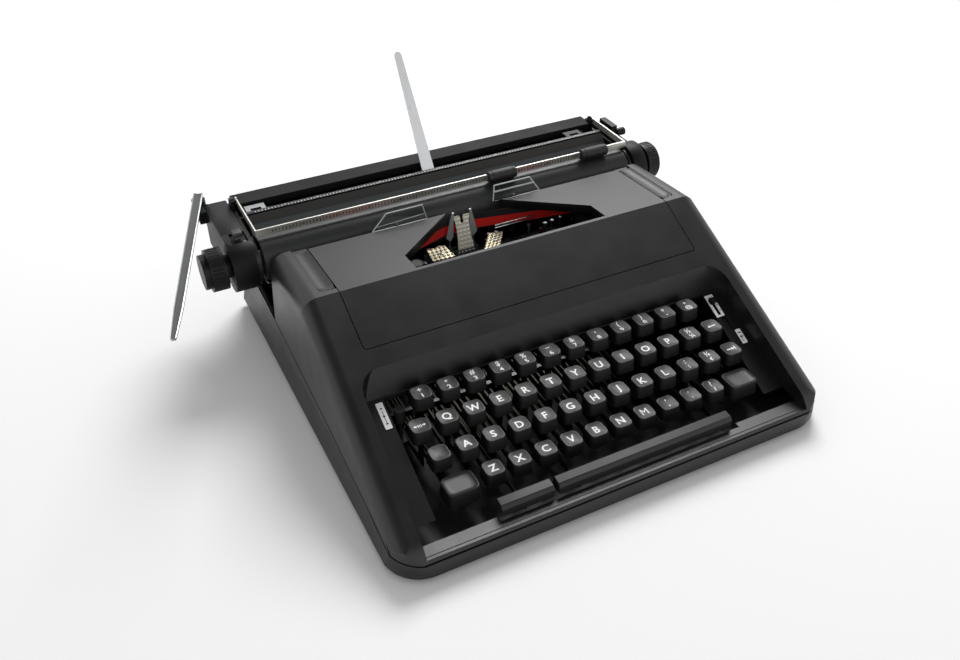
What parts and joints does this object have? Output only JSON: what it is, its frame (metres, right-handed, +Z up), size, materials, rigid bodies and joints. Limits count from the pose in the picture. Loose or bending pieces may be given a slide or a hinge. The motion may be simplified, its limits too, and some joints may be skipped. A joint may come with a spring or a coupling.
{
  "type": "manual typewriter",
  "caption": "Black manual typewriter with sliding carriage, return lever, paper arm and four-row keyboard.",
  "frame": {"origin": "centre of the bounding box seen from above, on the surface that the rubber feet stand on", "axes": "+X along the platen towards the right knob, +Y from the keyboard to the rear, +Z up"},
  "size_m": [0.4226, 0.3484, 0.178],
  "materials": {
    "base_pan": "black enamel",
    "rubber_feet": "matt",
    "pan_screws": "bright",
    "lower_housing": "fine satin texture",
    "upper_shell": "fine satin texture",
    "side_frames": "black enamel",
    "cross_members": "black enamel",
    "fulcrum_rod": "bright",
    "type_guide": "bright",
    "gauge_plates": "bright",
    "card_holders": "clear sheet",
    "type_rest": "felt-like pad",
    "spool_cups": "black enamel",
    "ribbon": "inked",
    "deck_labels": "printed label",
    "ribbon_cover": "fine satin texture",
    "keys_row1": "satin moulded",
    "levers_row1": "bright",
    "keys_row2": "satin moulded",
    "levers_row2": "bright",
    "keys_row3": "satin moulded",
    "levers_row3": "bright",
    "keys_row4": "satin moulded",
    "levers_row4": "bright",
    "key_h": "satin moulded",
    "lever_key_h": "bright",
    "space_bar": "satin moulded",
    "repeat_bar": "satin moulded",
    "shift_keys": "satin moulded",
    "shift_lock_key": "satin moulded",
    "margin_release_key": "satin moulded",
    "backspace_key": "satin moulded",
    "tab_key": "satin moulded",
    "tab_set_button": "satin moulded",
    "ribbon_selector": "satin moulded",
    "type_segment": "bright",
    "typebars": "bright",
    "typebar_h": "bright",
    "ribbon_vibrator": "bright",
    "spool_left": "satin moulded",
    "spool_right": "satin moulded",
    "carriage_frame": "black enamel",
    "carriage_rails": "bright",
    "housing_left": "fine satin texture",
    "housing_right": "fine satin texture",
    "rear_cover": "fine satin texture",
    "paper_table": "black enamel",
    "margin_scale": "bright",
    "margin_stop_left": "bright",
    "margin_stop_right": "bright",
    "platen": "matt",
    "platen_shaft": "bright",
    "platen_knobs": "satin moulded",
    "return_lever": "polished",
    "line_space_lever": "bright",
    "paper_bail": "bright",
    "bail_rollers": "matt",
    "paper_support": "polished",
    "carriage_release": "satin moulded",
    "paper_release": "satin moulded"
  },
  "bodies": {
    "machine_body": {"base_pan": "base_pan", "rubber_feet": "rubber_feet", "pan_screws": "pan_screws", "lower_housing": "lower_housing", "upper_shell": "upper_shell", "side_frames": "side_frames", "cross_members": "cross_members", "fulcrum_rod": "fulcrum_rod", "gauge_plates": "gauge_plates", "card_holders": "card_holders", "spool_cups": "spool_cups", "ribbon": "ribbon", "deck_labels": "deck_labels"},
    "cover": {"ribbon_cover": "ribbon_cover"},
    "key_row_1": {"keys_row1": "keys_row1", "levers_row1": "levers_row1"},
    "key_row_2": {"keys_row2": "keys_row2", "levers_row2": "levers_row2"},
    "key_row_3": {"keys_row3": "keys_row3", "levers_row3": "levers_row3"},
    "key_row_4": {"keys_row4": "keys_row4", "levers_row4": "levers_row4"},
    "letter_key_h": {"key_h": "key_h", "lever_key_h": "lever_key_h"},
    "space_bar_key": {"space_bar": "space_bar"},
    "repeat_bar_key": {"repeat_bar": "repeat_bar"},
    "shift_frame": {"shift_keys": "shift_keys"},
    "shift_lock": {"shift_lock_key": "shift_lock_key"},
    "margin_release": {"margin_release_key": "margin_release_key"},
    "backspace": {"backspace_key": "backspace_key"},
    "tabulator": {"tab_key": "tab_key"},
    "tab_set": {"tab_set_button": "tab_set_button"},
    "ribbon_slider": {"ribbon_selector": "ribbon_selector"},
    "type_basket": {"type_segment": "type_segment", "typebars": "typebars", "type_rest": "type_rest", "type_guide": "type_guide"},
    "type_bar_h": {"typebar_h": "typebar_h"},
    "vibrator": {"ribbon_vibrator": "ribbon_vibrator"},
    "left_spool": {"spool_left": "spool_left"},
    "right_spool": {"spool_right": "spool_right"},
    "carriage": {"carriage_frame": "carriage_frame", "carriage_rails": "carriage_rails", "housing_left": "housing_left", "housing_right": "housing_right", "rear_cover": "rear_cover", "paper_table": "paper_table", "margin_scale": "margin_scale"},
    "margin_left": {"margin_stop_left": "margin_stop_left"},
    "margin_right": {"margin_stop_right": "margin_stop_right"},
    "roller": {"platen": "platen", "platen_shaft": "platen_shaft", "platen_knobs": "platen_knobs"},
    "line_lever": {"return_lever": "return_lever"},
    "line_space": {"line_space_lever": "line_space_lever"},
    "bail": {"paper_bail": "paper_bail", "bail_rollers": "bail_rollers"},
    "paper_arm": {"paper_support": "paper_support"},
    "release_lever": {"carriage_release": "carriage_release"},
    "paper_lever": {"paper_release": "paper_release"}
  },
  "joints": [
    {"name": "key_row_1_press", "type": "hinge", "parent": "machine_body", "child": "key_row_1", "pos_m": [0.02881, 0.07382, 0.018], "axis": [1, 0, 0], "range_deg": [0, 3.39], "stiffness_Nm_per_rad": 2, "springref_deg": -6.88},
    {"name": "key_row_2_press", "type": "hinge", "parent": "machine_body", "child": "key_row_2", "pos_m": [0.02881, 0.07382, 0.018], "axis": [1, 0, 0], "range_deg": [0, 3.02], "stiffness_Nm_per_rad": 2, "springref_deg": -6.88},
    {"name": "key_row_3_press", "type": "hinge", "parent": "machine_body", "child": "key_row_3", "pos_m": [0.02881, 0.07382, 0.018], "axis": [1, 0, 0], "range_deg": [0, 2.73], "stiffness_Nm_per_rad": 2, "springref_deg": -6.88},
    {"name": "key_row_4_press", "type": "hinge", "parent": "machine_body", "child": "key_row_4", "pos_m": [0.02881, 0.07382, 0.018], "axis": [1, 0, 0], "range_deg": [0, 2.48], "stiffness_Nm_per_rad": 2, "springref_deg": -6.88},
    {"name": "key_h_press", "type": "hinge", "parent": "machine_body", "child": "letter_key_h", "pos_m": [0.02881, 0.07382, 0.018], "axis": [1, 0, 0], "range_deg": [0, 2.73], "stiffness_Nm_per_rad": 0.5, "springref_deg": -8.59},
    {"name": "space_bar_press", "type": "hinge", "parent": "machine_body", "child": "space_bar_key", "pos_m": [0.02881, 0.07382, 0.018], "axis": [1, 0, 0], "range_deg": [0, 1.24], "stiffness_Nm_per_rad": 1, "springref_deg": -5.73},
    {"name": "repeat_bar_press", "type": "hinge", "parent": "machine_body", "child": "repeat_bar_key", "pos_m": [0.02881, 0.07382, 0.018], "axis": [1, 0, 0], "range_deg": [0, 1.24], "stiffness_Nm_per_rad": 0.6, "springref_deg": -5.73},
    {"name": "shift_press", "type": "hinge", "parent": "machine_body", "child": "shift_frame", "pos_m": [0.02881, 0.07382, 0.018], "axis": [1, 0, 0], "range_deg": [0, 1.91], "stiffness_Nm_per_rad": 2.5, "springref_deg": -6.88},
    {"name": "shift_lock_press", "type": "hinge", "parent": "machine_body", "child": "shift_lock", "pos_m": [0.02881, 0.07382, 0.018], "axis": [1, 0, 0], "range_deg": [0, 2.12], "stiffness_Nm_per_rad": 0.5, "springref_deg": -8.59},
    {"name": "margin_release_press", "type": "hinge", "parent": "machine_body", "child": "margin_release", "pos_m": [0.02881, 0.07382, 0.018], "axis": [1, 0, 0], "range_deg": [0, 2.35], "stiffness_Nm_per_rad": 0.5, "springref_deg": -8.59},
    {"name": "backspace_press", "type": "hinge", "parent": "machine_body", "child": "backspace", "pos_m": [0.02881, 0.07382, 0.018], "axis": [1, 0, 0], "range_deg": [0, 2.35], "stiffness_Nm_per_rad": 0.5, "springref_deg": -8.59},
    {"name": "tabulator_press", "type": "hinge", "parent": "machine_body", "child": "tabulator", "pos_m": [0.02881, 0.07382, 0.018], "axis": [1, 0, 0], "range_deg": [0, 2.12], "stiffness_Nm_per_rad": 0.5, "springref_deg": -8.59},
    {"name": "cover_lift", "type": "slide", "parent": "machine_body", "child": "cover", "axis": [0, 0, 1], "range_m": [0, 0.05]},
    {"name": "tab_set_press", "type": "slide", "parent": "machine_body", "child": "tab_set", "axis": [0, 0, -1], "range_m": [0, 0.004], "stiffness_N_per_m": 60, "springref_m": -0.002},
    {"name": "ribbon_selector_slide", "type": "slide", "parent": "machine_body", "child": "ribbon_slider", "axis": [0, 0.9135, 0.4067], "range_m": [-0.008, 0]},
    {"name": "basket_drop", "type": "slide", "parent": "machine_body", "child": "type_basket", "axis": [0, 0, -1], "range_m": [0, 0.0055]},
    {"name": "typebar_h_swing", "type": "hinge", "parent": "type_basket", "child": "type_bar_h", "pos_m": [0.02231, 0.04132, 0.034], "axis": [-1, 0, 0], "range_deg": [0, 106]},
    {"name": "vibrator_lift", "type": "slide", "parent": "machine_body", "child": "vibrator", "axis": [0, 0, 1], "range_m": [0, 0.0046]},
    {"name": "spool_left_turn", "type": "hinge", "parent": "machine_body", "child": "left_spool", "pos_m": [-0.06819, 0.01882, 0.08], "axis": [0, 0, 1], "continuous": true},
    {"name": "spool_right_turn", "type": "hinge", "parent": "machine_body", "child": "right_spool", "pos_m": [0.12581, 0.01882, 0.08], "axis": [0, 0, 1], "continuous": true},
    {"name": "carriage_travel", "type": "slide", "parent": "machine_body", "child": "carriage", "axis": [1, 0, 0], "range_m": [-0.1, 0.1]},
    {"name": "platen_turn", "type": "hinge", "parent": "carriage", "child": "roller", "pos_m": [0.02881, 0.08182, 0.0826], "axis": [1, 0, 0], "continuous": true},
    {"name": "return_lever_swing", "type": "hinge", "parent": "carriage", "child": "line_lever", "pos_m": [-0.15519, 0.14982, 0.103], "axis": [0, 0, 1], "range_deg": [0, 15], "stiffness_Nm_per_rad": 0.2, "springref_deg": -5.73},
    {"name": "line_space_select", "type": "hinge", "parent": "carriage", "child": "line_space", "pos_m": [-0.14269, 0.08482, 0.089], "axis": [1, 0, 0], "range_deg": [-8, 8]},
    {"name": "bail_lift", "type": "hinge", "parent": "carriage", "child": "bail", "pos_m": [0.02881, 0.13182, 0.1046], "axis": [-1, 0, 0], "range_deg": [0, 70]},
    {"name": "paper_support_fold", "type": "hinge", "parent": "carriage", "child": "paper_arm", "pos_m": [0.02081, 0.12018, 0.10036], "axis": [0, 0.8221, -0.5693], "range_deg": [0, 88]},
    {"name": "margin_left_slide", "type": "slide", "parent": "carriage", "child": "margin_left", "axis": [1, 0, 0], "range_m": [0, 0.11]},
    {"name": "margin_right_slide", "type": "slide", "parent": "carriage", "child": "margin_right", "axis": [1, 0, 0], "range_m": [-0.11, 0]},
    {"name": "carriage_release_pull", "type": "hinge", "parent": "carriage", "child": "release_lever", "pos_m": [0.19181, 0.11982, 0.086], "axis": [1, 0, 0], "range_deg": [0, 14], "stiffness_Nm_per_rad": 0.05, "springref_deg": -11.46},
    {"name": "paper_release_pull", "type": "hinge", "parent": "carriage", "child": "paper_lever", "pos_m": [0.19121, 0.10522, 0.092], "axis": [1, 0, 0], "range_deg": [0, 20]}
  ],
  "couplings": [
    {"joint": "typebar_h_swing", "follows": "key_h_press", "ratio": 38.834},
    {"joint": "vibrator_lift", "follows": "key_h_press", "m_per_rad": 0.09455},
    {"joint": "basket_drop", "follows": "shift_press", "m_per_rad": 0.16349},
    {"joint": "spool_right_turn", "follows": "spool_left_turn", "ratio": 1}
  ]
}
